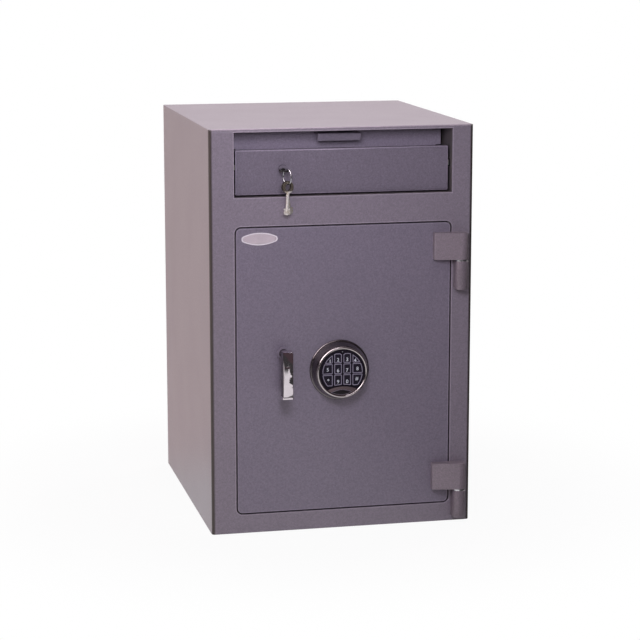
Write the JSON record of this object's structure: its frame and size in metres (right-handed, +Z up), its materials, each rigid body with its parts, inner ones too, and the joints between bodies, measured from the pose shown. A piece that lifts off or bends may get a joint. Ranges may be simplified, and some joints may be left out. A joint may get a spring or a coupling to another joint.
{
  "type": "drop safe with deposit drawer",
  "caption": "Upright steel safe with a hinged door, round keypad lock and lever handle, and above it a key-locked deposit drawer with a tipping floor.",
  "frame": {"origin": "centre of the underside of the case", "axes": "+Z up, the door and drawer face -Y, +X to the right seen from the front"},
  "size_m": [0.5, 0.6, 0.76],
  "materials": {
    "brass": "machined",
    "bright_steel": "turned and ground",
    "bronze": "sintered bushes",
    "case_paint": "fine hammered metallic paint, satin",
    "chrome": "polished",
    "dark_zinc": "black zinc plated",
    "die_cast": "die cast",
    "door_paint": "fine hammered metallic paint, satin",
    "drawer_paint": "fine hammered metallic paint, satin",
    "inner_paint": "grey primer, matt",
    "key_film": "black keypad film",
    "key_metal": "nickel-plated brass",
    "keypad_body": "dark, bright sheen",
    "oval_plate": "pale enamel, left blank",
    "pad_keys": "black keys with grey outlines",
    "zinc": "zinc plated"
  },
  "bodies": {
    "case": {"left_wall": "case_paint", "right_wall": "case_paint", "top_sheet": "case_paint", "back_plate": "case_paint", "floor_plate": "inner_paint", "front_rails": "case_paint", "door_jamb": "inner_paint", "hinge_posts": "door_paint", "hinge_pins": "bright_steel", "hinge_washers": "bright_steel", "housing_sides": "inner_paint", "housing_shelf": "inner_paint", "runner_channels": "dark_zinc", "tipping_ramps": "zinc", "anti_fishing_baffle": "inner_paint"},
    "door": {"door_plate": "door_paint", "bolt_box": "inner_paint", "door_back_cover": "inner_paint", "cover_screws": "zinc", "hinge_leaves": "door_paint", "dog_bolts": "bright_steel", "bolt_bushes": "bronze", "guide_posts": "zinc", "lock_case": "die_cast", "keypad_housing": "keypad_body", "keypad_ring": "chrome", "key_field": "key_film", "oval_boss": "chrome", "door_oval": "oval_plate"},
    "handle": {"lever_handle": "chrome", "handle_spindle": "bright_steel"},
    "bolt_work": {"bolt_carriage": "zinc", "locking_bolts": "bright_steel"},
    "lock_bolt": {"lock_bolt": "brass"},
    "drawer": {"drawer_front": "drawer_paint", "drawer_riser": "drawer_paint", "finger_pull": "drawer_paint", "drawer_tray": "inner_paint", "drawer_rails": "zinc", "floor_pin": "bright_steel", "drawer_lock_case": "zinc"},
    "tipping_floor": {"tipping_floor": "inner_paint"},
    "key_and_plug": {"lock_plug": "dark_zinc", "drawer_key": "key_metal"},
    "drawer_bolt": {"drawer_bolt": "bright_steel"},
    "key_ring": {"key_ring": "bright_steel"},
    "spare_key_1": {"spare_key_1": "key_metal"},
    "spare_key_2": {"spare_key_2": "key_metal"},
    "pad_key_1": {"key_1": "pad_keys"},
    "pad_key_2": {"key_2": "pad_keys"},
    "pad_key_3": {"key_3": "pad_keys"},
    "pad_key_4": {"key_4": "pad_keys"},
    "pad_key_5": {"key_5": "pad_keys"},
    "pad_key_6": {"key_6": "pad_keys"},
    "pad_key_7": {"key_7": "pad_keys"},
    "pad_key_8": {"key_8": "pad_keys"},
    "pad_key_9": {"key_9": "pad_keys"},
    "pad_key_0": {"key_0": "pad_keys"},
    "pad_key_star": {"key_star": "pad_keys"},
    "pad_key_hash": {"key_hash": "pad_keys"}
  },
  "joints": [
    {"name": "door_swing", "type": "hinge", "parent": "case", "child": "door", "pos_m": [0.2255, -0.2873, 0.28], "axis": [0, 0, 1], "range_deg": [0, 175]},
    {"name": "handle_turn", "type": "hinge", "parent": "door", "child": "handle", "pos_m": [-0.11345, -0.275, 0.342], "axis": [0, 1, 0], "range_deg": [0, 90]},
    {"name": "bolt_slide", "type": "slide", "parent": "door", "child": "bolt_work", "axis": [-1, 0, 0], "range_m": [0, 0.01801]},
    {"name": "lock_bolt_slide", "type": "slide", "parent": "door", "child": "lock_bolt", "axis": [-1, 0, 0], "range_m": [0, 0.01701]},
    {"name": "drawer_slide", "type": "slide", "parent": "case", "child": "drawer", "axis": [0, -1, 0], "range_m": [0, 0.21]},
    {"name": "floor_tip", "type": "hinge", "parent": "drawer", "child": "tipping_floor", "pos_m": [0, -0.202, 0.659], "axis": [1, 0, 0], "range_deg": [0, 28.01]},
    {"name": "drawer_key_turn", "type": "hinge", "parent": "drawer", "child": "key_and_plug", "pos_m": [-0.11, -0.262, 0.683], "axis": [0, 1, 0], "range_deg": [0, 90]},
    {"name": "drawer_bolt_slide", "type": "slide", "parent": "drawer", "child": "drawer_bolt", "axis": [0, 0, -1], "range_m": [0, 0.01201]},
    {"name": "ring_swing", "type": "hinge", "parent": "key_and_plug", "child": "key_ring", "pos_m": [-0.10696, -0.28836, 0.683], "axis": [0.9397, 0.342, 0], "range_deg": [-25, 2]},
    {"name": "spare_swing_1", "type": "hinge", "parent": "key_ring", "child": "spare_key_1", "pos_m": [-0.10586, -0.29137, 0.65857], "axis": [0.342, -0.9397, 0], "range_deg": [-26, 16]},
    {"name": "spare_swing_2", "type": "hinge", "parent": "key_ring", "child": "spare_key_2", "pos_m": [-0.10805, -0.28536, 0.65857], "axis": [0.342, -0.9397, 0], "range_deg": [-38, 4]},
    {"name": "key_1_press", "type": "slide", "parent": "door", "child": "pad_key_1", "axis": [0, 1, 0], "range_m": [0, 0.0008], "stiffness_N_per_m": 900, "springref_m": -0.0004},
    {"name": "key_2_press", "type": "slide", "parent": "door", "child": "pad_key_2", "axis": [0, 1, 0], "range_m": [0, 0.0008], "stiffness_N_per_m": 900, "springref_m": -0.0004},
    {"name": "key_3_press", "type": "slide", "parent": "door", "child": "pad_key_3", "axis": [0, 1, 0], "range_m": [0, 0.0008], "stiffness_N_per_m": 900, "springref_m": -0.0004},
    {"name": "key_4_press", "type": "slide", "parent": "door", "child": "pad_key_4", "axis": [0, 1, 0], "range_m": [0, 0.0008], "stiffness_N_per_m": 900, "springref_m": -0.0004},
    {"name": "key_5_press", "type": "slide", "parent": "door", "child": "pad_key_5", "axis": [0, 1, 0], "range_m": [0, 0.0008], "stiffness_N_per_m": 900, "springref_m": -0.0004},
    {"name": "key_6_press", "type": "slide", "parent": "door", "child": "pad_key_6", "axis": [0, 1, 0], "range_m": [0, 0.0008], "stiffness_N_per_m": 900, "springref_m": -0.0004},
    {"name": "key_7_press", "type": "slide", "parent": "door", "child": "pad_key_7", "axis": [0, 1, 0], "range_m": [0, 0.0008], "stiffness_N_per_m": 900, "springref_m": -0.0004},
    {"name": "key_8_press", "type": "slide", "parent": "door", "child": "pad_key_8", "axis": [0, 1, 0], "range_m": [0, 0.0008], "stiffness_N_per_m": 900, "springref_m": -0.0004},
    {"name": "key_9_press", "type": "slide", "parent": "door", "child": "pad_key_9", "axis": [0, 1, 0], "range_m": [0, 0.0008], "stiffness_N_per_m": 900, "springref_m": -0.0004},
    {"name": "key_0_press", "type": "slide", "parent": "door", "child": "pad_key_0", "axis": [0, 1, 0], "range_m": [0, 0.0008], "stiffness_N_per_m": 900, "springref_m": -0.0004},
    {"name": "key_star_press", "type": "slide", "parent": "door", "child": "pad_key_star", "axis": [0, 1, 0], "range_m": [0, 0.0008], "stiffness_N_per_m": 900, "springref_m": -0.0004},
    {"name": "key_hash_press", "type": "slide", "parent": "door", "child": "pad_key_hash", "axis": [0, 1, 0], "range_m": [0, 0.0008], "stiffness_N_per_m": 900, "springref_m": -0.0004}
  ],
  "couplings": [
    {"joint": "bolt_slide", "follows": "handle_turn", "m_per_rad": 0.011459},
    {"joint": "lock_bolt_slide", "follows": "handle_turn", "m_per_rad": 0.010823},
    {"joint": "floor_tip", "follows": "drawer_slide", "rad_per_m": 2.3271},
    {"joint": "drawer_bolt_slide", "follows": "drawer_key_turn", "m_per_rad": 0.0076394}
  ]
}
